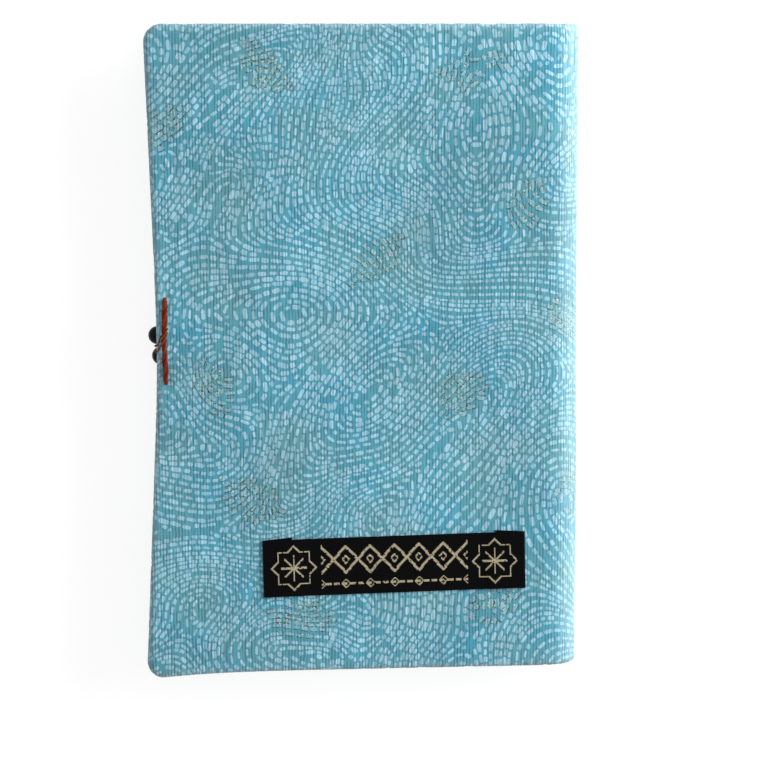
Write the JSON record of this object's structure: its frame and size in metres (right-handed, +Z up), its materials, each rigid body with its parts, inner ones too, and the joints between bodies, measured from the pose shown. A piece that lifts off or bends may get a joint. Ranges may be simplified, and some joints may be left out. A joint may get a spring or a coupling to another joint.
{
  "type": "needle book",
  "caption": "Closed cloth-covered needle book with stiffened covers, a round spine, felt leaves for needles, a woven label and a bead-and-loop closure.",
  "frame": {"origin": "middle of the front cover's outer face, which lies on the table", "axes": "+Z up out of the back cover, +Y to the head of the book, +X to the spine"},
  "size_m": [0.1012, 0.15, 0.0146],
  "materials": {
    "printed_cotton": "plain woven cotton printed with pale dashes on turquoise",
    "lining_cotton": "plain woven cotton, dyed turquoise",
    "interlining": "firm needle-punched interlining",
    "felt": "natural wool felt",
    "label_satin": "black woven satin",
    "rust_thread": "twisted cotton embroidery thread",
    "pale_thread": "twisted cotton sewing thread",
    "black_thread": "waxed beading thread",
    "black_glass": "polished opaque black glass"
  },
  "bodies": {
    "front_cover": {"front_outer_cloth": "printed_cotton", "front_stiffener": "interlining", "front_lining": "lining_cotton", "bead_upper": "black_glass", "bead_lower": "black_glass", "bead_thread": "black_thread"},
    "spine": {"spine_outer_cloth": "printed_cotton", "spine_fleece": "interlining", "spine_lining": "lining_cotton", "felt_fold_outer": "felt", "felt_fold_inner": "felt", "binding_thread": "pale_thread"},
    "back_cover": {"back_outer_cloth": "printed_cotton", "back_stiffener": "interlining", "back_lining": "lining_cotton", "woven_label": "label_satin", "closure_bar": "rust_thread"},
    "loop": {"closure_loop": "rust_thread"},
    "leaf_1": {"felt_leaf_1": "felt"},
    "leaf_2": {"felt_leaf_2": "felt"},
    "leaf_3": {"felt_leaf_3": "felt"},
    "leaf_4": {"felt_leaf_4": "felt"}
  },
  "joints": [
    {"name": "spine_fold", "type": "hinge", "parent": "front_cover", "child": "spine", "pos_m": [0.04871, 0, 0.00129], "axis": [0, 1, 0], "range_deg": [0, 90]},
    {"name": "back_cover_fold", "type": "hinge", "parent": "spine", "child": "back_cover", "pos_m": [0.04871, 0, 0.01071], "axis": [0, 1, 0], "range_deg": [0, 90]},
    {"name": "leaf_1_turn", "type": "hinge", "parent": "spine", "child": "leaf_1", "pos_m": [0.044, 0, 0.003], "axis": [0, 1, 0], "range_deg": [-60, 0]},
    {"name": "leaf_2_turn", "type": "hinge", "parent": "spine", "child": "leaf_2", "pos_m": [0.044, 0, 0.0044], "axis": [0, 1, 0], "range_deg": [-20, 0]},
    {"name": "leaf_3_turn", "type": "hinge", "parent": "spine", "child": "leaf_3", "pos_m": [0.044, 0, 0.0076], "axis": [0, 1, 0], "range_deg": [0, 20]},
    {"name": "leaf_4_turn", "type": "hinge", "parent": "spine", "child": "leaf_4", "pos_m": [0.044, 0, 0.009], "axis": [0, 1, 0], "range_deg": [0, 60]},
    {"name": "loop_swing", "type": "hinge", "parent": "back_cover", "child": "loop", "pos_m": [-0.048, 0.0011, 0.0107], "axis": [0, 1, 0], "range_deg": [0, 100], "deforming": ["closure_loop"]}
  ],
  "couplings": [
    {"joint": "back_cover_fold", "follows": "spine_fold", "ratio": 1},
    {"joint": "leaf_1_turn", "follows": "spine_fold", "ratio": -0.65},
    {"joint": "leaf_2_turn", "follows": "spine_fold", "ratio": -0.22},
    {"joint": "leaf_3_turn", "follows": "spine_fold", "ratio": 0.22},
    {"joint": "leaf_4_turn", "follows": "spine_fold", "ratio": 0.65}
  ]
}
